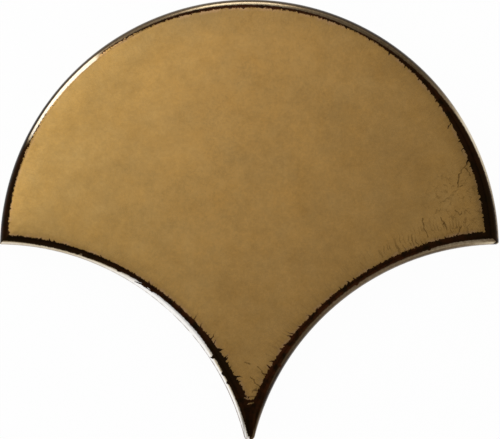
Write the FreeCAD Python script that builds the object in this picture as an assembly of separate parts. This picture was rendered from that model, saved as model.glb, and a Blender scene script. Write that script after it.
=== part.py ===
"""Fish scale wall tile: one pressed and fired ceramic piece with a cushioned, glazed face.

The outline is one scale of the pattern: a round head above, two hollow sides that clear the heads
of the next row by one joint, and a small round tip between them. The face is flat in the middle.
It falls away to every edge in a long shallow cushion and a round shoulder, mitred at the two
corners and run together along the tip. The walls draw in to a bevelled foot, and the back has a
grid of shallow keys between ribs for the adhesive.

Frame: millimetres, back on z = 0 and face up, head towards +Y and tip towards -Y.
The origin is the middle of the outline's bounding box, on the back.
"""

import FreeCAD, Part
import math
import os

from FreeCAD import Vector

# Outline
head_radius = 60.0        # half of the 120 mm width
joint = 1.1               # grout joint that the pattern leaves between neighbouring tiles
tip_radius = 1.37         # round end of the tip, which makes the tile 106 mm high

# Edge, from the face down to the back
thickness = 8.5
cushion_width = 7.0       # from the outline in to where the face is flat
cushion_radius = 80.0     # shallow curve that leaves the flat of the face
shoulder_radius = 2.4     # round from the cushion down into the wall
foot_inset = 0.35         # draft: how far the wall draws in from the shoulder to the foot
foot_bevel = 0.5          # bevel round the back, at 45 degrees

# Keys in the back
key_depth = 0.7
key_border = 4.0          # plain border from the outline to the nearest key
key_draft = 0.3           # how far a key's wall leans in over its depth
rib_pitch = 10.0
rib_width = 1.8           # on the back plane, where the rib meets the adhesive
smallest_key = 12.0       # mm2: a key that the border cuts to less than this is left out

cutter_margin = 2.0       # how far a cutting shape runs past what it cuts

# In the pattern a neighbour's head stands half a column across and one head radius down. The hollow
# sides are concentric with those heads and one joint larger, and the tip's round touches both.
side_radius = head_radius + joint
side_across = head_radius + joint / 2
tip_below_head = head_radius - math.sqrt((side_radius + tip_radius) ** 2 - side_across ** 2)
tile_height = head_radius + tip_below_head + tip_radius
head_y = tile_height / 2 - head_radius

origin = Vector(0, 0, 0)
upright = Vector(0, 0, 1)
head_centre = Vector(0, head_y, 0)
left_centre = Vector(-side_across, head_y - head_radius, 0)
right_centre = Vector(side_across, head_y - head_radius, 0)
tip_centre = Vector(0, head_y - tip_below_head, 0)


def path(*points):
    """Straight edges through points given as (radius, height) in the section plane."""
    corners = [Vector(radius, 0, height) for radius, height in points]
    return [Part.makeLine(a, b) for a, b in zip(corners, corners[1:])]


def arc(place, centre_inset, centre_height, radius, first_lean, last_lean):
    """Arc of the section about a point. The leans turn its normal outwards from straight up."""

    def at(lean):
        inset = centre_inset - radius * math.sin(lean)
        return Vector(place(inset), 0, centre_height + radius * math.cos(lean))

    middle_lean = (first_lean + last_lean) / 2
    return Part.Arc(at(first_lean), at(middle_lean), at(last_lean)).toShape()


def tile_edge(place):
    """Section of the tile's edge, from the back up to the flat of the face.

    place(inset) gives the radius, about the arc's own axis, at that distance in from the outline.
    """
    # The shoulder's round touches the cushion's from inside, and touches the wall.
    cushion_height = thickness - cushion_radius
    rise = cushion_radius - shoulder_radius
    inward = cushion_width - shoulder_radius
    shoulder_height = cushion_height + math.sqrt(rise ** 2 - inward ** 2)
    meeting_lean = math.asin(inward / rise)
    level_lean = math.pi / 2
    wall = path(
        (place(foot_inset + foot_bevel), 0),
        (place(foot_inset), foot_bevel),
        (place(0), shoulder_height),
    )
    shoulder = arc(place, shoulder_radius, shoulder_height, shoulder_radius, level_lean, meeting_lean)
    cushion = arc(place, cushion_width, cushion_height, cushion_radius, meeting_lean, 0)
    return [*wall, shoulder, cushion]


def key_edge(place):
    """Section of the border that ends the field of keys, from the back up to their depth."""
    return path((place(key_border), 0), (place(key_border + key_draft), key_depth))


def turned(section, centre, start_angle=0, sweep=360):
    """Solid of a closed section, less what lies beyond the axis, turned about centre's vertical."""
    far = 10 * head_radius
    beyond_axis = Part.makeBox(far, far, far, Vector(-far, -far / 2, -far / 2))
    face = Part.Face(Part.Wire(section)).cut(beyond_axis)
    solid = face.revolve(origin, upright, sweep)
    return solid.rotated(origin, upright, start_angle).translated(centre)


def scale_solid(edge, back_inset, face_inset, height):
    """The fish scale from z = 0 up to height, with the same edge section all round.

    edge(place) gives the section, from back_inset on z = 0 to face_inset on height.
    """
    above = height + cutter_margin
    below = -cutter_margin

    def in_head(inset):
        return head_radius - inset

    def past_side(inset):
        return side_radius + inset

    def in_tip(inset):
        return tip_radius - inset

    head_section = edge(in_head) + path(
        (in_head(face_inset), height),
        (0, height),
        (0, 0),
        (in_head(back_inset), 0),
    )
    side_section = edge(past_side) + path(
        (past_side(face_inset), height),
        (past_side(face_inset), above),
        (0, above),
        (0, below),
        (past_side(back_inset), below),
        (past_side(back_inset), 0),
    )
    # The tip's cutter takes all that lies outside its round end, between the two lines from the
    # tip's centre to the centres of the sides. On those lines its section meets theirs.
    tip_section = edge(in_tip) + path(
        (in_tip(face_inset), height),
        (in_tip(face_inset), above),
        (head_radius, above),
        (head_radius, below),
        (in_tip(back_inset), below),
        (in_tip(back_inset), 0),
    )
    to_left = left_centre - tip_centre
    to_right = right_centre - tip_centre
    left_angle = math.degrees(math.atan2(to_left.y, to_left.x))
    right_angle = math.degrees(math.atan2(to_right.y, to_right.x))

    head = turned(head_section, head_centre)
    left_side = turned(side_section, left_centre)
    right_side = turned(side_section, right_centre)
    past_tip = turned(tip_section, tip_centre, left_angle, right_angle - left_angle)
    return head.cut([left_side, right_side, past_tip])


def back_keys():
    """The keys as solids to cut away: the bordered field of the back, less the ribs across it."""
    field = scale_solid(key_edge, key_border, key_border + key_draft, key_depth)
    low_half = rib_width / 2
    high_half = low_half + key_draft
    section = path(
        (-low_half, 0), (low_half, 0), (high_half, key_depth), (-high_half, key_depth), (-low_half, 0)
    )
    rib = Part.Face(Part.Wire(section)).extrude(Vector(0, 2 * head_radius, 0))
    rib.translate(Vector(0, -head_radius, 0))
    steps = math.ceil(head_radius / rib_pitch)
    ribs = [rib.translated(Vector(step * rib_pitch, 0, 0)) for step in range(-steps, steps + 1)]
    cross_ribs = [upright_rib.rotated(origin, upright, 90) for upright_rib in ribs]
    keys = field.cut(ribs + cross_ribs).Solids
    return [key for key in keys if key.Volume > smallest_key * key_depth]


def fan_tile():
    """The whole tile: the cushioned scale, keyed at the back."""
    body = scale_solid(tile_edge, foot_inset + foot_bevel, cushion_width, thickness)
    return body.cut(back_keys())


os.makedirs("parts", exist_ok=True)
tile = fan_tile()
tile.exportStep("parts/fan_tile.step")
print("fan_tile:", len(tile.Solids), "solid,", len(tile.Faces), "faces,", tile.Volume, "mm3")
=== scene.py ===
import math

import bmesh
import bpy
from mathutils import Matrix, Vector, noise


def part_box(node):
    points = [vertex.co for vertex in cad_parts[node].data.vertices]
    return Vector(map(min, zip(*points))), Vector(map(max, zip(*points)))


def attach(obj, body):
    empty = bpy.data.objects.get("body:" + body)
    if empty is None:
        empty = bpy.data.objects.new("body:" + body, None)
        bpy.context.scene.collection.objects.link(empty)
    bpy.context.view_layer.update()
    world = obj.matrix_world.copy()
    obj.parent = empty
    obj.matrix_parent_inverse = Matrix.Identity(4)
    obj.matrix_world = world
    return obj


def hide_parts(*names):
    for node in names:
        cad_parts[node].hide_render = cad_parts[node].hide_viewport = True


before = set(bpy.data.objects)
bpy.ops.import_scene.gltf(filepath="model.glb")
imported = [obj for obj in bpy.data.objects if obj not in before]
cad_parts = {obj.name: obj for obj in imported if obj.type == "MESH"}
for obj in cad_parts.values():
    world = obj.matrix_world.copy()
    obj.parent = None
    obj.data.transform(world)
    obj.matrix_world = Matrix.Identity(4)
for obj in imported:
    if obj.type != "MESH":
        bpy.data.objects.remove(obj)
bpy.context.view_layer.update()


# The tile: one pressed and fired piece with its glaze, so one mesh stands for it. A square sheet of
# quads is pressed into the scale's outline and cushioned, its edges are drawn down as the walls,
# and the back is closed with its grid of keys. Sizes are millimetres until the mesh is finished.
head_radius = 60.0
joint = 1.1
tip_radius = 1.37
cushion_width = 7.0
cushion_radius = 80.0
shoulder_radius = 2.4
foot_inset = 0.35
foot_bevel = 0.5

mm_per_metre = 1000
tile_low, tile_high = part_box("fan_tile")
thickness = (tile_high[2] - tile_low[2]) * mm_per_metre

side_radius = head_radius + joint
side_across = head_radius + joint / 2
tip_below_head = head_radius - math.sqrt((side_radius + tip_radius) ** 2 - side_across ** 2)
tile_height = head_radius + tip_below_head + tip_radius
head_centre = Vector((0, tile_height / 2 - head_radius))
right_centre = head_centre + Vector((side_across, -head_radius))
left_centre = head_centre + Vector((-side_across, -head_radius))
tip_centre = head_centre - Vector((0, tip_below_head))

cushion_height = thickness - cushion_radius
shoulder_inward = cushion_width - shoulder_radius
shoulder_height = cushion_height + math.sqrt(
    (cushion_radius - shoulder_radius) ** 2 - shoulder_inward ** 2
)
meeting_inset = shoulder_radius * (1 - shoulder_inward / (cushion_radius - shoulder_radius))


def toward(centre, radius, angle):
    """The point of a circle at an angle, counterclockwise from +X."""
    return centre + radius * Vector((math.cos(angle), math.sin(angle)))


def bearing(centre, point):
    """Angle of a point about a centre, counterclockwise from +X, from -90 to 270 degrees."""
    away = point - centre
    return (math.atan2(away.y, away.x) + math.pi / 2) % (2 * math.pi) - math.pi / 2


def corner_of(inset):
    """The right corner of the scale drawn in by inset, as its angles about the side and the head."""
    head = head_radius - inset
    side = side_radius + inset
    to_head = head_centre - right_centre
    turn = math.acos((side ** 2 + to_head.length_squared - head ** 2) / (2 * side * to_head.length))
    about_side = math.atan2(to_head.y, to_head.x) - turn
    corner = toward(right_centre, side, about_side)
    return about_side, math.atan2(corner.y - head_centre.y, corner.x - head_centre.x)


def smooth_share(share):
    """A smooth step from 0 to 1 over a share, which is held between them."""
    held = min(max(share, 0), 1)
    return held ** 2 * (3 - 2 * held)


tip_bearing = bearing(right_centre, tip_centre)
tip_share = 0.05            # part of the way down, at the end, where the rows bend to the tip's round
nearly_straight = 1e-4      # radians
left_corner_round = 0.4
right_corner_round = 0.9


def scale_plan(inset):
    """The scale drawn in by inset, as on_plan(across, down).

    across runs from -1 on the left edge to 1 on the right, down from 0 on the head to 1 on the tip.
    The two sharp corners are rounded a little, the right one more.
    """
    side = side_radius + inset
    corner_angle, head_angle = corner_of(inset)
    corner = toward(right_centre, side, corner_angle)
    head_bulge = math.pi / 2 - head_angle
    tip_bulge = math.pi / 2 - tip_bearing

    def rounded(point):
        corner_round = right_corner_round if point.x > 0 else left_corner_round
        right = abs(point.x) - corner.x + corner_round
        low = corner.y + corner_round - point.y
        if right <= 0 or low <= 0:
            return point
        shrink = 1 - max(right, low) / math.hypot(right, low)
        return point - Vector((math.copysign(right, point.x), -low)) * shrink

    def on_plan(across, down):
        angle = corner_angle + (tip_bearing - corner_angle) * down
        edge = toward(right_centre, side, angle)
        bulge = math.pi - angle + (head_bulge - math.pi + corner_angle) * (1 - down)
        bulge += (tip_bulge - bulge) * smooth_share((down - 1 + tip_share) / tip_share)
        if abs(bulge) < nearly_straight:
            return Vector((edge.x * across, edge.y))
        row_radius = edge.x / math.sin(bulge)
        rise = math.cos(across * bulge) - math.cos(bulge)
        return rounded(Vector((row_radius * math.sin(across * bulge), edge.y + row_radius * rise)))

    return on_plan


def spaced(length, count, first_step=0.03, growth=0.08):
    """Distances of count lines from an edge: close together there, then evenly to the far end."""
    def steps(widest):
        return [min(first_step * math.exp(growth * step), widest) for step in range(count)]

    low, high = first_step, length
    for halving in range(40):    # closes in on the widest step with which count steps fill length
        widest = (low + high) / 2
        if sum(steps(widest)) < length:
            low = widest
        else:
            high = widest
    lines = [0]
    for step in steps(high):
        lines.append(lines[-1] + step)
    return [line * length / lines[-1] for line in lines]


def edge_distances(point):
    """How far a point of the plan lies in from the head's edge and from each side's."""
    head = head_radius - (point - head_centre).length
    left = (point - left_centre).length - side_radius
    right = (point - right_centre).length - side_radius
    return head, left, right


def past_tip(point):
    """Whether a point's nearest edge is the tip's round end."""
    from_tip = point - tip_centre
    to_side = right_centre - tip_centre
    return from_tip.y < 0 and abs(from_tip.x) * -to_side.y < -from_tip.y * to_side.x


side_length = side_radius * (tip_bearing - corner_of(0)[0])
head_length = head_radius * (math.pi - 2 * corner_of(0)[1])
outline_length = 2 * side_length + head_length


def rim_place(point):
    """(distance in from the outline, distance along it from the tip, counterclockwise)."""
    head, left, right = edge_distances(point)
    if past_tip(point):
        along = 0 if point.x > 0 else outline_length
        return tip_radius - (point - tip_centre).length, along
    if head < min(left, right):
        return head, side_length + head_radius * (bearing(head_centre, point) - corner_of(0)[1])
    mirrored = Vector((abs(point.x), point.y))
    along = side_radius * (tip_bearing - bearing(right_centre, mirrored))
    return min(left, right), along if point.x > 0 else outline_length - along


def soft_least(first, second, reach):
    """The smaller of two distances, rounded over where they differ by less than reach.

    Close to an edge the reach shrinks with the distance to it, so the result never falls below 0.
    """
    reach = min(reach, 2 * min(first, second))
    if reach <= 0:
        return min(first, second)
    overlap = max(reach - abs(first - second), 0) / reach
    return min(first, second) - overlap ** 2 * reach / 4


corner_softness = 0.5
ridge_softness = 2.5
nose_share = 0.22           # of the distance from the tip's end, which caps the inset near it


def cushion_inset(point):
    """The distance from the edges that sets the height of the face, eased where two edges meet."""
    head, left, right = edge_distances(point)
    nose = (point.y - tip_centre.y + tip_radius) * nose_share
    sides = soft_least(soft_least(left, right, ridge_softness), nose, ridge_softness)
    softened = soft_least(head, sides, corner_softness)
    return max(min(softened, rim_place(point)[0]), 0)


def face_height(inset):
    """Height of the face at a distance in from the edge: shoulder, cushion, then flat."""
    if inset >= cushion_width:
        return thickness
    if inset >= meeting_inset:
        return cushion_height + math.sqrt(cushion_radius ** 2 - (cushion_width - inset) ** 2)
    return shoulder_height + math.sqrt(shoulder_radius ** 2 - (shoulder_radius - inset) ** 2)


def uneven(point, size, seed):
    """Smooth noise from -1 to 1 whose waves are about size millimetres long."""
    return noise.noise(Vector((point.x / size, point.y / size, seed)))


columns = 125
head_rows = 72
tip_rows = 72
rows = head_rows + tip_rows
half_row_knots = 16         # straight lines that stand for half a row when its length is measured

clay = bmesh.new()
across_of = clay.verts.layers.float.new("across")
down_of = clay.verts.layers.float.new("down")
rim_of = clay.verts.layers.float.new("rim")
along_of = clay.verts.layers.float.new("along")
lip_of = clay.verts.layers.float.new("lip")

bmesh.ops.create_grid(clay, x_segments=2 * columns, y_segments=rows, size=1)
plan = scale_plan(0)
down_lines = [line / side_length for line in spaced(side_length / 2, head_rows)]
down_lines += [1 - line / side_length for line in reversed(spaced(side_length / 2, tip_rows)[:-1])]

across_lines = []
for down in down_lines:
    knots = [plan(knot / half_row_knots, down) for knot in range(half_row_knots + 1)]
    half_row = sum((b - a).length for a, b in zip(knots, knots[1:]))
    across_lines.append([1 - line / half_row for line in spaced(half_row, columns)])

wave_height = 0.006
wave_size = 9
wave_seed = 2.4
for vert in clay.verts:
    column = round(vert.co.x * columns)
    row = round((1 - vert.co.y) / 2 * rows)
    across = math.copysign(across_lines[row][columns - abs(column)], column) if column else 0
    point = plan(across, down_lines[row])
    inset, along = rim_place(point)
    vert[across_of], vert[down_of] = across, down_lines[row]
    vert[rim_of], vert[along_of], vert[lip_of] = max(inset, 0), along, shoulder_height
    wave = wave_height * (uneven(point, wave_size, wave_seed) - 1)
    wave *= min(max(inset, 0) / cushion_width, 1)
    vert.co = (point.x, point.y, face_height(cushion_inset(point)) + wave)

# The walls. The glaze stops in an uneven lip above the foot, a little proud of the raw clay. The
# lip swings slowly and, less far, quickly: swing, size of its waves and seed.
glaze_step = 0.12
lip_height = 2.6
slow_swing, slow_size, slow_seed = 0.9, 14, 3.1
quick_swing, quick_size, quick_seed = 0.5, 4, 7.7
lip_below = 0.3             # where the lip's round starts, below the glaze's edge
lip_reach = 0.4             # height of that round
wall_rings = 20
bevel_rings = 3
profile = []
for ring in range(1, wall_rings + 1):
    share = ring / wall_rings
    profile.append((foot_inset * share, shoulder_height + (foot_bevel - shoulder_height) * share))
for ring in range(1, bevel_rings + 1):
    share = ring / bevel_rings
    profile.append((foot_inset + foot_bevel * share, foot_bevel * (1 - share)))

rim_edges = [edge for edge in clay.edges if edge.is_boundary]
for inset, height in profile:
    grown = bmesh.ops.extrude_edge_only(clay, edges=rim_edges)["geom"]
    rim_edges = [item for item in grown if isinstance(item, bmesh.types.BMEdge) and item.is_boundary]
    glazed = scale_plan(inset)
    raw = scale_plan(inset + glaze_step)
    for vert in {vert for edge in rim_edges for vert in edge.verts}:
        point = glazed(vert[across_of], vert[down_of])
        above_lip = height - lip_height - slow_swing * uneven(point, slow_size, slow_seed)
        above_lip -= quick_swing * uneven(point, quick_size, quick_seed)
        cover = smooth_share((above_lip + lip_below) / lip_reach)
        point = raw(vert[across_of], vert[down_of]).lerp(point, cover)
        vert.co = (point.x, point.y, height)
        vert[rim_of] = height - shoulder_height
        vert[lip_of] = above_lip

# The back: a plain border round a field of shallow keys between ribs.
key_depth = 0.7
key_border = 4.0
key_draft = 0.3
rib_pitch = 10.0
rib_width = 1.8
smallest_key = 12.0         # mm2: a key whose floor is smaller is left out
field_steps = 90

field_head = head_radius - key_border
field_side = side_radius + key_border
corner_angle, head_angle = corner_of(key_border)
point_angle = math.pi - math.acos(side_across / field_side)
head_sweep = math.pi - 2 * head_angle
side_sweep = corner_angle - point_angle


def on_field_side(step):
    """A point of the field's right side, from its lower point at step 0 to the corner."""
    return toward(right_centre, field_side, point_angle + side_sweep * step / field_steps)


outline = []
for step in range(field_steps):
    outline.append(toward(head_centre, field_head, head_angle + head_sweep * step / field_steps))
for step in range(field_steps, 0, -1):
    point = on_field_side(step)
    outline.append(Vector((-point.x, point.y)))
for step in range(field_steps):
    outline.append(on_field_side(step))

circle = bmesh.ops.create_circle(clay, segments=len(outline), radius=1, cap_ends=True)["verts"]
field = circle[0].link_faces[0]
for loop, point in zip(field.loops, outline):
    loop.vert.co = (point.x, point.y, 0)
field.normal_update()
if field.normal.z > 0:
    field.normal_flip()

back_faces = [field]
ribs_each_way = math.ceil(head_radius / rib_pitch)
for across_ribs in (Vector((1, 0, 0)), Vector((0, 1, 0))):
    for rib in range(-ribs_each_way, ribs_each_way + 1):
        for edge_of_rib in (-rib_width / 2, rib_width / 2):
            back_edges = {edge for face in back_faces for edge in face.edges}
            back_verts = {vert for face in back_faces for vert in face.verts}
            cut = bmesh.ops.bisect_plane(
                clay,
                geom=[*back_verts, *back_edges, *back_faces],
                plane_co=across_ribs * (rib * rib_pitch + edge_of_rib),
                plane_no=across_ribs,
            )["geom"]
            back_faces = [item for item in cut if isinstance(item, bmesh.types.BMFace)]


def between_ribs(position):
    return abs(position - round(position / rib_pitch) * rib_pitch) > rib_width / 2


keys = []
for face in back_faces:
    middle = face.calc_center_median()
    floor_area = face.calc_area() - face.calc_perimeter() * key_draft / 2
    if between_ribs(middle.x) and between_ribs(middle.y) and floor_area > smallest_key:
        keys.append(face)
bmesh.ops.inset_individual(clay, faces=keys, thickness=key_draft, depth=-key_depth, use_even_offset=True)
open_edges = [edge for edge in clay.edges if edge.is_boundary]
bmesh.ops.triangle_fill(clay, use_beauty=True, edges=open_edges, normal=(0, 0, -1))

# The back's own points have no lip yet. They get that of the foot, below the glaze.
for vert in clay.verts:
    if vert[lip_of] == 0:
        vert[rim_of], vert[lip_of] = -shoulder_height, -foot_bevel

flat_height = key_depth + 0.01    # faces that reach no higher are flat: the back, keys and bevel
bmesh.ops.recalc_face_normals(clay, faces=clay.faces)
for face in clay.faces:
    face.smooth = max(vert.co.z for vert in face.verts) > flat_height
bmesh.ops.scale(clay, vec=(1 / mm_per_metre,) * 3, verts=clay.verts)

tile_mesh = bpy.data.meshes.new("fan_tile_glazed")
clay.to_mesh(tile_mesh)
clay.free()
tile = bpy.data.objects.new("fan_tile_glazed", tile_mesh)
bpy.context.scene.collection.objects.link(tile)

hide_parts("fan_tile")
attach(tile, "root")


# The finish: a bronze-gold lustre fired over the face. At the rim its colour holds painted
# reflection: a nearly black band with a ragged edge, a painted reflection of a dark room in the
# shoulder, and a paler arris, a painted reflection of the white table and a painted highlight that
# the soft boxes brighten. The lustre runs down the walls and stops above the foot, where the raw buff
# body shows. Its patterns follow the tile in millimetres.
glaze = bpy.data.materials.new("bronze_glaze")
glaze.use_nodes = True
tile_mesh.materials.append(glaze)
nodes = glaze.node_tree.nodes
shader = nodes["Principled BSDF"]


def wire(value, socket):
    """Links a socket to another's value, or sets its own."""
    if isinstance(value, bpy.types.NodeSocket):
        socket.id_data.links.new(value, socket)
    else:
        socket.default_value = value


def calc(operation, first, second=0.0, third=0.0):
    """Arithmetic. Like all that follows, it adds to nodes, those of the material being made."""
    made = nodes.new("ShaderNodeMath")
    made.operation = operation
    for value, socket in zip((first, second, third), made.inputs):
        wire(value, socket)
    return made.outputs[0]


def times(*factors):
    product = factors[0]
    for factor in factors[1:]:
        product = calc("MULTIPLY", product, factor)
    return product


def aim(operation, first, second=(0, 0, 0)):
    """Vector arithmetic. Lengths and dot products come out as plain numbers."""
    made = nodes.new("ShaderNodeVectorMath")
    made.operation = operation
    wire(first, made.inputs[0])
    wire(second, made.inputs["Scale" if operation == "SCALE" else 1])
    return made.outputs["Value" if operation in ("LENGTH", "DOT_PRODUCT", "DISTANCE") else "Vector"]


def step_up(value, low, high):
    """0 below low, 1 above high, and a smooth step between."""
    made = nodes.new("ShaderNodeMapRange")
    made.interpolation_type = "SMOOTHSTEP"
    for given, name in ((value, "Value"), (low, "From Min"), (high, "From Max")):
        wire(given, made.inputs[name])
    return made.outputs["Result"]


def step_down(value, low, high):
    return calc("SUBTRACT", 1.0, step_up(value, low, high))


def mixed(share, first, second):
    """The first colour where share is 0, the second where it is 1. Inputs 6 and 7 take colours."""
    made = nodes.new("ShaderNodeMix")
    made.data_type = "RGBA"
    for value, socket in zip((share, first, second), (made.inputs[0], made.inputs[6], made.inputs[7])):
        wire(value, socket)
    return made.outputs[2]


def blotches(where, scale, detail=2.0, roughness=0.5, low=0.0, high=1.0):
    """Noise that runs from about low to about high."""
    made = nodes.new("ShaderNodeTexNoise")
    for value, name in ((where, "Vector"), (scale, "Scale"), (detail, "Detail"), (roughness, "Roughness")):
        wire(value, made.inputs[name])
    return calc("MULTIPLY_ADD", made.outputs[0], high - low, low)


def stored(name):
    """A value that the mesh carries at each vertex."""
    made = nodes.new("ShaderNodeAttribute")
    made.attribute_name = name
    return made.outputs["Fac"]


def ramp(value, rows):
    """Colours or plain values from 0 to 1 that follow a value, from rows of (place, colour)."""
    made = nodes.new("ShaderNodeValToRGB")
    wire(value, made.inputs["Fac"])
    stops = made.color_ramp.elements
    while len(stops) < len(rows):
        stops.new(0.5)
    for stop, (at, tint) in zip(stops, rows):
        stop.position = at
        stop.color = tint if isinstance(tint, tuple) else (tint, tint, tint, 1)
    return made.outputs["Color"]


place = aim("SCALE", nodes.new("ShaderNodeTexCoord").outputs["Object"], mm_per_metre)
flat_place = aim("MULTIPLY", place, (1, 1, 0))
rim = stored("rim")
along = stored("along")
lip = stored("lip")


def along_rim(*rows):
    """A value that changes along the outline, from rows of (mm from the tip, value 0 to 1)."""
    return ramp(calc("DIVIDE", along, outline_length), [(at / outline_length, value) for at, value in rows])


def width_along_rim(*rows, widest=8.0):
    """As along_rim, for widths in mm up to widest."""
    return calc("MULTIPLY", along_rim(*[(at, width / widest) for at, width in rows]), widest)


# How far in the nearly black band of painted dark reflection reaches, how wide the paler arris
# outside it is, a painted reflection and highlight, and how pale that is on its outer and its inner half.
band_width = width_along_rim(
    (0, 3.0), (13, 2.9), (21, 2.74), (34, 2.48), (47, 2.5), (59, 2.74), (72, 3.1), (84, 3.43),
    (102, 3.3), (110, 3.18), (118.5, 2.69), (127, 2.36), (135, 2.15), (143, 1.98), (160, 2.08),
    (175, 2.12), (184, 2.0), (198, 1.6), (206, 1.44), (212, 1.24), (226, 1.25), (236, 1.5), (250, 1.62),
    (259, 1.88), (266.5, 2.28), (287, 2.16), (300, 2.25), (313, 2.66), (326, 3.12), (332, 3.12),
    (337, 3.65), (346.7, 3.7),
)
arris_width = width_along_rim(
    (0, 0.7), (8, 0.74), (11.5, 0.95), (21, 1.1), (53, 1.12), (60, 1.15), (67, 1.45), (79, 1.4),
    (80.6, 0.38), (92, 0.47), (111, 0.78), (119, 1.03), (127, 1.33), (146, 1.6), (162, 1.42),
    (190, 1.17), (206, 1.17), (212, 0.95), (214.2, 1.7), (223, 1.53), (233, 1.32), (241, 1.25),
    (244, 0.3), (265.5, 0.3), (267, 0.95), (275, 0.65), (288, 0.66), (300, 1.19), (320, 1.36),
    (331, 0.98), (340, 1.0), (346.7, 0.92),
)
outer_pale = along_rim(
    (0, 0.35), (5, 0.3), (9, 0.1), (15, 0.12), (21, 0.2), (28, 0.26), (38, 0.36), (53, 0.4), (60, 0.35),
    (66, 0.36), (72, 0.44), (79.5, 0.76), (81, 0.42), (92, 0.54), (103, 0.72), (111, 0.74), (119, 0.42),
    (127, 0.24), (137, 0.16), (152, 0.19), (168, 0.3), (182, 0.36), (206, 0.34), (222, 0.24),
    (236, 0.1), (246, 0.04), (265.5, 0.04), (266.8, 0.8), (281, 0.7), (294, 0.88), (302, 1.0),
    (346.7, 1.0),
)
inner_pale = along_rim(
    (0, 0.08), (6, 0.1), (15, 0.25), (21, 0.3), (34, 0.39), (58, 0.46), (66, 0.53), (75, 0.54),
    (79, 0.48), (81, 0.14), (93, 0.2), (102, 0.3), (111, 0.5), (119, 0.48), (127, 0.36), (144, 0.39),
    (160, 0.46), (169, 0.64), (183, 0.67), (190, 0.51), (206, 0.45), (212.3, 0.45), (214.2, 0.77),
    (239.0, 0.82), (241.6, 0.14), (265.5, 0.12), (267, 0.5), (287, 0.44), (302, 1.0), (321, 1.0),
    (329, 0.7), (346.7, 0.85),
)

# The painted dark band's inner edge is ragged, with spikes of the same painted dark reflection that
# reach into the gold, longest by the point. There the two bands meet in a dark end, at a blunt line across.
spikes_per_mm = 0.62
spike_lean = 0.3
spike_half_width = 0.17     # of the mean space between spikes
longest_spike = 2.2
ragged_reach = 0.85
blunt_end = -42.9
blunt_ragged_reach = 1.0

crooked = blotches(place, 1.1, 2, low=-0.5, high=0.5)
spike_line = nodes.new("ShaderNodeTexVoronoi")
spike_line.voronoi_dimensions = "1D"
wire(calc("ADD", along, calc("MULTIPLY_ADD", rim, spike_lean, crooked)), spike_line.inputs["W"])
spike_line.inputs["Scale"].default_value = spikes_per_mm
spike_zone = along_rim(
    (0, 1.0), (30, 0.8), (50, 0.35), (79, 0.4), (100, 0.45), (130, 0.5), (160, 0.25), (265, 0.25),
    (292, 0.3), (309, 0.4), (318, 1.0),
)
spike_reach = calc("MULTIPLY", calc("POWER", spike_line.outputs["Color"], 2.0), longest_spike)
spike_form = calc("POWER", step_down(spike_line.outputs["Distance"], 0.0, spike_half_width), 1.5)
spike = times(spike_form, spike_reach, spike_zone)
ragged = calc("ADD", blotches(place, 1.2, 5, 0.8, low=-ragged_reach, high=ragged_reach), spike)
past_band = calc("SUBTRACT", rim, calc("ADD", band_width, ragged))
past_point = calc("SUBTRACT", aim("DOT_PRODUCT", place, (0, 1, 0)), blunt_end)
blunt_ragged = blotches(place, 0.9, 3, 0.7, low=-blunt_ragged_reach, high=blunt_ragged_reach)
past_point = calc("ADD", past_point, blunt_ragged)
past_band = calc("MINIMUM", past_band, past_point)

# The painted pale arris draws back from the painted dark band in a few nicks, and in one place it
# reaches into it, as rows of (mm from the tip, half the length, how far the arris draws back).
nicks = (
    (17.5, 0.5, 0.5), (44.0, 0.7, 0.4), (63.0, 0.5, 0.3), (285.7, 0.6, -0.5), (295.4, 0.7, 0.35),
    (304.6, 0.8, 0.3), (326.0, 0.7, 0.85), (330.6, 0.9, 0.4), (333.0, 0.6, 0.45),
)
nick_lean = -0.5
arris_wander = 0.3
arris_blur = 0.12

crooked_along = calc("ADD", along, calc("MULTIPLY_ADD", rim, nick_lean, crooked))
nick = 0.0
for nick_place, half_length, draw_back in nicks:
    from_nick = calc("ABSOLUTE", calc("SUBTRACT", crooked_along, nick_place))
    nick = calc("MULTIPLY_ADD", step_down(from_nick, 0.0, half_length), draw_back, nick)
arris_edge = calc("ADD", arris_width, blotches(place, 1.6, 4, 0.7, low=-arris_wander, high=arris_wander))
past_arris = calc("SUBTRACT", rim, calc("SUBTRACT", arris_edge, nick))
arris_share = step_down(past_arris, -arris_blur, arris_blur)

# Crooked lines, as points in the plan: hairline cracks near the right corner and in the point, the
# longest spikes of the painted dark band as flames, slivers of that band in the arris, and scraps of
# gold left in its dark end. Flames and slivers are tapered, and their rows start with half the width at the
# base.
crack_lines = (
    ((52.8, 14.3), (51.4, 12.4), (50.8, 11.3), (50.3, 11.0), (49.9, 7.9), (51.0, 8.3)),
    ((52.0, 12.4), (53.0, 10.8)),
    ((45.8, 0.5), (47.0, -1.2), (47.2, -2.1)),
    ((41.5, 0.2), (41.8, -1.2), (42.7, -4.1)),
    ((50.7, -1.4), (50.3, -2.9), (49.7, -3.6)),
    ((49.2, 2.3), (50.6, 1.2), (51.0, 2.0)),
    ((-1.2, -34.2), (0.3, -34.5)),
    ((2.0, -35.3), (2.8, -36.2), (4.0, -38.0)),
    ((0.3, -37.7), (1.2, -38.7), (2.1, -39.7), (3.2, -41.6)),
    ((1.7, -40.4), (0.9, -41.4)),
    ((-1.9, -42.2), (1.7, -42.3)),
)
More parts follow.
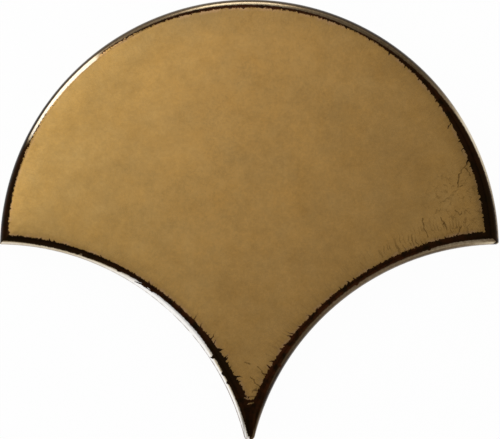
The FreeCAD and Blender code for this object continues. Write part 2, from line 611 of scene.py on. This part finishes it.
flames = (
    (0.55, (-8.3, -31.8), (-7.2, -31.1), (-6.1, -30.9)),
    (0.55, (-6.7, -34.4), (-5.6, -33.6), (-4.9, -32.8)),
    (0.60, (-4.7, -38.1), (-3.4, -37.5), (-1.7, -37.6)),
    (0.60, (-4.4, -39.4), (-3.0, -38.9), (-1.9, -38.6)),
    (0.55, (7.4, -34.9), (6.2, -34.1), (4.7, -33.8)),
    (0.55, (6.6, -36.4), (5.0, -35.5), (4.3, -34.7)),
    (0.55, (9.3, -31.6), (8.3, -30.9), (7.2, -30.8)),
    (0.55, (11.6, -29.0), (10.2, -27.9)),
    (0.55, (-10.6, -28.6), (-9.6, -27.2)),
    (0.40, (45.4, 29.2), (44.7, 28.1)),
    (0.25, (46.2, 28.2), (45.4, 27.2)),
    (0.13, (48.4, 23.3), (47.8, 22.6), (47.7, 21.9)),
    (0.40, (50.6, 21.0), (49.9, 20.2)),
    (0.28, (51.2, 19.6), (50.5, 18.7)),
    (0.13, (51.6, 17.4), (51.0, 16.6), (51.1, 15.9)),
    (0.35, (53.3, 14.9), (52.5, 14.2), (51.9, 13.2)),
)
slivers = (
    (0.42, (-25.1, -15.5), (-26.2, -15.25), (-27.4, -14.9)),
    (0.30, (-25.0, -15.6), (-24.6, -16.3), (-23.4, -17.6)),
    (0.34, (59.8, -4.9), (59.6, -5.45), (59.0, -5.75), (57.6, -5.85)),
)
scraps = (((-1.1, -42.85), (0.9, -42.95)), ((-0.2, -44.4), (0.9, -43.9)))
line_stray = 1.3
far_off = 9.0               # a distance beyond the width of any of these lines
widest_crack = 0.32

wander = nodes.new("ShaderNodeTexNoise")
wire(place, wander.inputs["Vector"])
wander.inputs["Scale"].default_value = 0.7
astray = aim("SUBTRACT", wander.outputs["Color"], (0.5, 0.5, 0.5))
strayed_place = aim("ADD", flat_place, aim("MULTIPLY", astray, (line_stray, line_stray, 0)))


def distance_from_line(start, end, start_width=0.0, end_width=0.0):
    """Distance from a line between two points, or from the edge of one with some half width."""
    reach = Vector((end[0] - start[0], end[1] - start[1], 0))
    from_start = aim("SUBTRACT", strayed_place, (start[0], start[1], 0))
    share = calc("DIVIDE", aim("DOT_PRODUCT", from_start, reach), reach.length_squared)
    share = calc("MINIMUM", calc("MAXIMUM", share, 0.0), 1.0)
    away = aim("LENGTH", aim("SUBTRACT", from_start, aim("SCALE", reach, share)))
    if start_width == 0.0:
        return away
    return calc("SUBTRACT", away, calc("MULTIPLY_ADD", share, end_width - start_width, start_width))


nearest_crack = far_off
for line in crack_lines:
    for start, end in zip(line, line[1:]):
        nearest_crack = calc("MINIMUM", nearest_crack, distance_from_line(start, end))
crack_width = blotches(place, 1.5, 3, 0.6, low=widest_crack, high=0.0)
cracks = step_down(nearest_crack, calc("SUBTRACT", crack_width, 0.1), calc("ADD", crack_width, 0.06))


def tapered(lines):
    """1 on lines that run out to a point, from rows of (half width at the base, points)."""
    nearest = far_off
    for base, *line in lines:
        spans = len(line) - 1
        for span, (start, end) in enumerate(zip(line, line[1:])):
            widths = [base * (1 - step / spans) for step in (span, span + 1)]
            nearest = calc("MINIMUM", nearest, distance_from_line(start, end, *widths))
    return step_down(nearest, -0.05, 0.1)


flame = tapered(flames)
sliver = tapered(slivers)
nearest_scrap = calc("MINIMUM", *[distance_from_line(*line) for line in scraps])
scrap_strength = 0.8
scrap_breaks = step_up(blotches(place, 2.0, 2), 0.35, 0.5)
scrap = times(step_down(nearest_scrap, 0.05, 0.3), scrap_breaks, scrap_strength)

# Finer crazing: short dark ticks that run in from the rim, most of them at the right, and a faint
# net by the right corner.
net_middle = (52, 3, 0)
net_fade = (6, 14)          # radii between which the net fades out
net_stray = 2.4
ticks_per_mm = 1.25
tick_strength = 0.6
crack_strength = 0.62
net_strength = 0.36
darkest_crazing = 0.85

near_corner = step_down(aim("DISTANCE", flat_place, net_middle), *net_fade)
tick_line = nodes.new("ShaderNodeTexVoronoi")
tick_line.voronoi_dimensions = "1D"
wire(calc("ADD", along, blotches(place, 0.5, 2, low=-0.8, high=0.8)), tick_line.inputs["W"])
tick_line.inputs["Scale"].default_value = ticks_per_mm
tick_zone = along_rim(
    (0, 0), (10, 0.3), (40, 0.15), (50, 0.3), (56, 0.9), (70, 0.9), (77, 0.4), (81, 0.1), (100, 0.2),
    (125, 0.1), (350, 0.05),
)
ticks = times(
    step_down(tick_line.outputs["Distance"], 0.04, 0.22),
    step_up(blotches(place, 0.45, 2), 0.42, 0.56),
    step_down(rim, 4.2, 9.0),
    tick_zone,
)
net = nodes.new("ShaderNodeTexVoronoi")
net.feature = "DISTANCE_TO_EDGE"
wire(aim("ADD", place, aim("SCALE", astray, net_stray)), net.inputs["Vector"])
net.inputs["Scale"].default_value = 0.55
net_lines = times(
    step_down(net.outputs["Distance"], 0.02, 0.10),
    step_up(blotches(place, 0.7, 3), 0.44, 0.58),
    near_corner,
)
crazing = calc("MULTIPLY_ADD", cracks, crack_strength, times(net_lines, net_strength))
crazing = calc("MINIMUM", calc("MULTIPLY_ADD", ticks, tick_strength, crazing), darkest_crazing)

# Colours of the glaze, all linear.
gold_red = (0.3645, 0.1995, 0.0512, 1)
gold_green = (0.3530, 0.2068, 0.0636, 1)
gold_deep = (0.245, 0.139, 0.038, 1)
fringe_pink = (0.42, 0.25, 0.14, 1)
# The two nearly black colours below: painted dark reflection in the band and the arris; the first also
# darkens the walls' lower edge.
near_black = (0.0120, 0.0068, 0.0026, 1)
near_black_red = (0.0440, 0.0128, 0.0042, 1)
crack_brown = (0.070, 0.032, 0.004, 1)

# The lustre is mottled at every size, in its warmth and in how much it throws back. It is greener
# towards the left, and a little brighter there in a painted reflection of the brighter card; darker
# along the band in a painted dim reflection; and dimmer and greyer under the top of the head.
dim_patch = (0.56, 0.53, 0.45, 1)
bright_patch = (1.44, 1.47, 1.55, 1)
green_tint = (1.02, 1.08, 1.11)
green_end = 10
green_strength = 0.9
painted_left_sheen = 0.07
painted_left_sheen_end = -30
top_dim_tint = (0.70, 0.74, 0.86)
fringe_strength = 0.4

elsewhere = aim("ADD", place, (130, 70, 0))    # so that the patches don't repeat the tone's blotches
tone = mixed(blotches(place, 0.11, 5, 0.78, low=-0.7, high=1.7), gold_red, gold_green)
patches = mixed(blotches(elsewhere, 0.08, 6, 0.97), dim_patch, bright_patch)
tone = aim("MULTIPLY", tone, patches)
across_face = aim("DOT_PRODUCT", place, (1, 0, 0))
greener = times(step_down(across_face, -head_radius, green_end), green_strength)
tone = mixed(greener, tone, aim("MULTIPLY", tone, green_tint))
# Painted reflection: the gold is made brighter towards the left, standing for the brighter card it mirrors.
left_sheen_share = step_down(across_face, -head_radius, painted_left_sheen_end)
tone = aim("SCALE", tone, calc("MULTIPLY_ADD", left_sheen_share, painted_left_sheen, 1.0))
# Painted shade: the gold is darkened towards the band by zones along the rim, a painted dimmer reflection
# where the face nears the shoulder.
dim_reflection_zone = along_rim(
    (0, 0.6), (30, 0.5), (60, 0.5), (79, 0.85), (100, 0.85), (122, 0.5), (143, 0.5), (164, 0.3),
    (188, 0.2), (204, 0.0), (250, 0.0), (258, 0.1), (265, 0.6), (267, 0.75), (287, 0.7), (346.7, 0.7),
)
tone = mixed(times(step_down(past_band, -0.2, 1.8), dim_reflection_zone), tone, gold_deep)
# Dimmer and greyer under the top of the head, fading out by 10 mm in from the edge.
top_dim_zone = along_rim(
    (145, 0.0), (154, 0.45), (168, 0.45), (176, 0.65), (184, 1.0), (191, 0.9), (197, 0.45), (206, 0.2),
    (214, 0),
)
top_dim = times(step_down(rim, 1.5, 10), top_dim_zone)
tone = mixed(top_dim, tone, aim("MULTIPLY", tone, top_dim_tint))
fringe = times(step_down(past_band, 0.1, 0.9), step_up(blotches(place, 0.35, 3), 0.42, 0.62))
tone = mixed(times(fringe, fringe_strength), tone, fringe_pink)
tone = mixed(crazing, tone, crack_brown)

# The painted dark reflection of the band is reddish in stretches, and the arris runs from near black
# through brown to white, in painted reflection and painted highlight.
red_zone = along_rim(
    (0, 0.2), (6, 0.7), (15, 1.0), (45, 1.0), (66, 0.6), (79, 0.1), (93, 0.1), (101, 0.3), (112, 0.3),
    (119, 0.6), (130, 0.4), (140, 0.8), (190, 0.9), (240, 0.4), (262, 0.4), (268, 0.1), (288, 0.3),
    (312, 0.8), (321, 0.5), (327, 0.05), (333, 0.1), (339, 0.5), (344, 0.1),
)
near_black_tone = mixed(times(step_up(blotches(place, 0.5, 4, 0.65), 0.32, 0.62), red_zone), near_black, near_black_red)

paleness = mixed(step_up(rim, 0.5, 0.84), outer_pale, inner_pale)
paleness = calc("ADD", paleness, blotches(place, 1.4, 4, 0.6, low=-0.10, high=0.10))
arris_tone = ramp(paleness, (
    (0.0, near_black),
    (0.12, (0.014, 0.007, 0.003, 1)),
    (0.35, (0.085, 0.056, 0.028, 1)),
    (0.5, (0.20, 0.145, 0.085, 1)),
    (0.7, (0.52, 0.43, 0.29, 1)),
    (0.85, (0.78, 0.71, 0.60, 1)),
    (1.0, (0.96, 0.94, 0.91, 1)),
))

# A broken brown hairline runs along the very edge of the two sides.
hairline_brown = (0.15, 0.085, 0.05, 1)
hairline_zone = along_rim(
    (0, 0.7), (12, 0.3), (45, 0.2), (60, 0.5), (78, 0.7), (81, 0.0), (264, 0.0), (268, 0.5), (300, 0.6),
    (330, 1.0), (346.7, 1.0),
)
hairline_breaks = step_up(blotches(place, 0.6, 3), 0.3, 0.55)
hairline = times(step_down(rim, 0.12, 0.3), hairline_breaks, hairline_zone)

# On the walls the lustre is thinner: brown to burnt, in streaks, and darkest at its lower edge.
wall_burnt = (0.030, 0.016, 0.006, 1)
wall_brown = (0.13, 0.075, 0.025, 1)
streaks = step_up(blotches(aim("MULTIPLY", place, (1, 1, 0.25)), 0.5, 3), 0.35, 0.7)
wall_tone = mixed(streaks, wall_burnt, wall_brown)
wall_tone = mixed(step_down(lip, 0.1, 0.5), wall_tone, near_black)
wall_share = step_down(rim, -0.7, -0.05)

# The raw body: buff clay with a fine grain and darker specks.
buff = (0.62, 0.53, 0.42, 1)
buff_pale = (0.70, 0.61, 0.50, 1)
buff_speck = (0.36, 0.28, 0.20, 1)
speck_strength = 0.5
body_tone = mixed(step_up(blotches(place, 0.3, 4, 0.6), 0.35, 0.7), buff, buff_pale)
specks = times(step_up(blotches(place, 2.6, 2), 0.62, 0.72), speck_strength)
body_tone = mixed(specks, body_tone, buff_speck)

# All of it together, from the lustre outwards and down to the raw body, which is neither metallic
# nor glossy. The gold has a thin clear coat, and a low relief covers glaze and body.
glaze_smoothest = 0.17
glaze_roughest = 0.27
crack_roughness = 0.25
body_roughness = 0.85
gold_coat = 0.15

# The share of the nearly black band, a painted dark reflection, with flames added and scraps of gold taken
# out.
near_black_share = calc("MAXIMUM", step_down(past_band, -0.05, 0.05), flame)
near_black_share = calc("MULTIPLY", near_black_share, calc("SUBTRACT", 1.0, scrap))
colour = mixed(near_black_share, tone, near_black_tone)
colour = mixed(times(arris_share, calc("SUBTRACT", 1.0, sliver)), colour, arris_tone)
colour = mixed(hairline, colour, hairline_brown)
colour = mixed(wall_share, colour, wall_tone)
covered = step_up(calc("ADD", lip, blotches(place, 1.2, 3, low=-0.25, high=0.25)), -0.04, 0.04)
bare = calc("SUBTRACT", 1.0, covered)
wire(mixed(covered, body_tone, colour), shader.inputs["Base Color"])
wire(covered, shader.inputs["Metallic"])
glaze_roughness = blotches(place, 0.4, 3, low=glaze_smoothest, high=glaze_roughest)
glaze_roughness = calc("MULTIPLY_ADD", crazing, crack_roughness, glaze_roughness)
roughness = calc("MULTIPLY_ADD", bare, body_roughness, times(covered, glaze_roughness))
wire(roughness, shader.inputs["Roughness"])
wire(times(covered, calc("SUBTRACT", 1.0, near_black_share), gold_coat), shader.inputs["Coat Weight"])
shader.inputs["Coat Roughness"].default_value = 0.04

ripple_depth = 0.004
rim_relief_depth = 0.015
grain_depth = 0.06
bump = nodes.new("ShaderNodeBump")
bump.inputs["Distance"].default_value = 1 / mm_per_metre
ripple = blotches(place, 0.7, 2, high=ripple_depth)
rim_relief = times(blotches(place, 2.4, 3, high=rim_relief_depth), step_down(rim, 2.0, 4.0))
grain = times(blotches(place, 3.0, 4, high=grain_depth), bare)
relief = calc("ADD", calc("ADD", ripple, rim_relief), grain)
wire(relief, bump.inputs["Height"])
wire(bump.outputs["Normal"], shader.inputs["Normal"])


# The table: a wide white sheet a hair under the tile. The camera and every reflection see it nearly
# white, and the rest of its brightness is lit, which leaves the tile's soft shadow on it. It is clear
# from below, and to light that comes from the tile's back just above it, so that the back shows.
table_height = -0.0001
table_half_width = 6
just_above = 0.001
glow_share = 0.97
floor_mesh = bpy.data.meshes.new("floor")
floor_form = bmesh.new()
bmesh.ops.create_grid(floor_form, x_segments=1, y_segments=1, size=table_half_width)
bmesh.ops.translate(floor_form, vec=(0, 0, table_height), verts=floor_form.verts)
floor_form.to_mesh(floor_mesh)
floor_form.free()
floor = bpy.data.objects.new("floor", floor_mesh)
bpy.context.scene.collection.objects.link(floor)

table = bpy.data.materials.new("white_table")
table.use_nodes = True
floor_mesh.materials.append(table)
nodes = table.node_tree.nodes
lit = nodes["Principled BSDF"]
lit.inputs["Base Color"].default_value = (0.9, 0.9, 0.9, 1)
lit.inputs["Roughness"].default_value = 0.8
glow = nodes.new("ShaderNodeEmission")
glow.inputs["Color"].default_value = (1, 1, 1, 1)
paths = nodes.new("ShaderNodeLightPath")
seen = calc("MAXIMUM", paths.outputs["Is Camera Ray"], paths.outputs["Is Glossy Ray"])
seen = calc("MAXIMUM", seen, paths.outputs["Is Transmission Ray"])
blend = nodes.new("ShaderNodeMixShader")
wire(times(seen, glow_share), blend.inputs[0])
wire(lit.outputs[0], blend.inputs[1])
wire(glow.outputs[0], blend.inputs[2])
under_tile = calc("LESS_THAN", paths.outputs["Ray Length"], just_above)
from_below = nodes.new("ShaderNodeNewGeometry").outputs["Backfacing"]
one_sided = nodes.new("ShaderNodeMixShader")
wire(calc("MAXIMUM", from_below, under_tile), one_sided.inputs[0])
wire(blend.outputs[0], one_sided.inputs[1])
wire(nodes.new("ShaderNodeBsdfTransparent").outputs[0], one_sided.inputs[2])
wire(one_sided.outputs[0], nodes["Material Output"].inputs["Surface"])


# The light: a pale room, a card above the tile that is brighter towards the upper left, and two
# soft boxes beside it that its rim mirrors, at the top and at the upper left.
scene = bpy.context.scene
room_level = 0.6
horizon_level = 0.95
horizon_low = 0.08          # up to here, as the sine of the height, the room is as bright as its horizon
horizon_high = 0.3
world = bpy.data.worlds.new("studio")
world.use_nodes = True
scene.world = world
nodes = world.node_tree.nodes
direction = nodes.new("ShaderNodeSeparateXYZ")
wire(nodes.new("ShaderNodeTexCoord").outputs["Generated"], direction.inputs[0])
horizon = step_down(direction.outputs[2], horizon_low, horizon_high)
room = nodes["Background"]
room.inputs["Color"].default_value = (1, 1, 1, 1)
wire(calc("MULTIPLY_ADD", horizon, horizon_level - room_level, room_level), room.inputs["Strength"])

card_height = 0.25
card_radius = 0.24
card_fade = (0.17, 0.23)    # radii between which the card fades into the room
card_level = 0.835          # over the middle of the tile
card_brightest = 1.5
card_rise = 5.4             # of the brightness's exponent, per metre towards the upper left
card_curve = 6.0
side_fall = -18.0
card_mesh = bpy.data.meshes.new("overhead_card")
card_form = bmesh.new()
bmesh.ops.create_circle(card_form, segments=64, radius=card_radius, cap_ends=True)
bmesh.ops.translate(card_form, vec=(0, 0, card_height), verts=card_form.verts)
card_form.to_mesh(card_mesh)
card_form.free()
card = bpy.data.objects.new("overhead_card", card_mesh)
card.visible_camera = False
scene.collection.objects.link(card)

card_light = bpy.data.materials.new("card_light")
card_light.use_nodes = True
card_mesh.materials.append(card_light)
nodes = card_light.node_tree.nodes
nodes.remove(nodes["Principled BSDF"])
card_place = nodes.new("ShaderNodeTexCoord").outputs["Object"]
to_corner = aim("DOT_PRODUCT", card_place, (-1, 1, 0))
to_side = aim("DOT_PRODUCT", card_place, (1, 1, 0))
lean = calc("MULTIPLY_ADD", to_corner, card_rise, times(to_corner, to_corner, card_curve))
lean = calc("MULTIPLY_ADD", times(to_side, to_side), side_fall, lean)
within = step_down(aim("LENGTH", aim("MULTIPLY", card_place, (1, 1, 0))), *card_fade)
level = calc("MINIMUM", times(calc("EXPONENT", lean), card_level), card_brightest)
level = calc("MULTIPLY_ADD", within, calc("SUBTRACT", level, room_level), room_level)
card_glow = nodes.new("ShaderNodeEmission")
wire(level, card_glow.inputs["Strength"])
wire(card_glow.outputs[0], nodes["Material Output"].inputs["Surface"])

box_distance = 0.7


def softbox(name, azimuth, elevation, width, height, radiance, tint):
    """A rectangular lamp that faces the tile from a compass angle and a height above the table."""
    lamp = bpy.data.lights.new(name, "AREA")
    lamp.shape = "RECTANGLE"
    lamp.size = width
    lamp.size_y = height
    lamp.color = tint
    lamp.energy = radiance * math.pi * width * height
    box = bpy.data.objects.new(name, lamp)
    flat = math.cos(math.radians(elevation))
    box.location = box_distance * Vector((
        flat * math.cos(math.radians(azimuth)),
        flat * math.sin(math.radians(azimuth)),
        math.sin(math.radians(elevation)),
    ))
    box.rotation_euler = (-box.location).to_track_quat("-Z", "Y").to_euler()
    box.visible_camera = False
    scene.collection.objects.link(box)


softbox(
    "upper_left_box", azimuth=138, elevation=26, width=0.34, height=0.62, radiance=1.5,
    tint=(1.0, 0.97, 0.94),
)
softbox(
    "top_box", azimuth=93, elevation=9, width=0.34, height=0.20, radiance=2.2,
    tint=(1.0, 0.95, 0.86),
)


# The camera: straight above the face on a long lens, framed as in the photograph, whose width takes
# in 120.22 mm at the height of the tile's widest line and whose middle lies just off the tile's.
camera_height = 0.9
frame_middle = (0.00015, 0.0001)
frame_width = 0.12022
sensor_width = 36
widest_height = shoulder_height / mm_per_metre
camera = bpy.data.objects.new("camera", bpy.data.cameras.new("camera"))
camera.location = (*frame_middle, camera_height)
camera.data.sensor_width = sensor_width
camera.data.lens = sensor_width * (camera_height - widest_height) / frame_width
camera.data.clip_end = 20
scene.collection.objects.link(camera)
scene.camera = camera
scene.view_settings.view_transform = "Standard"
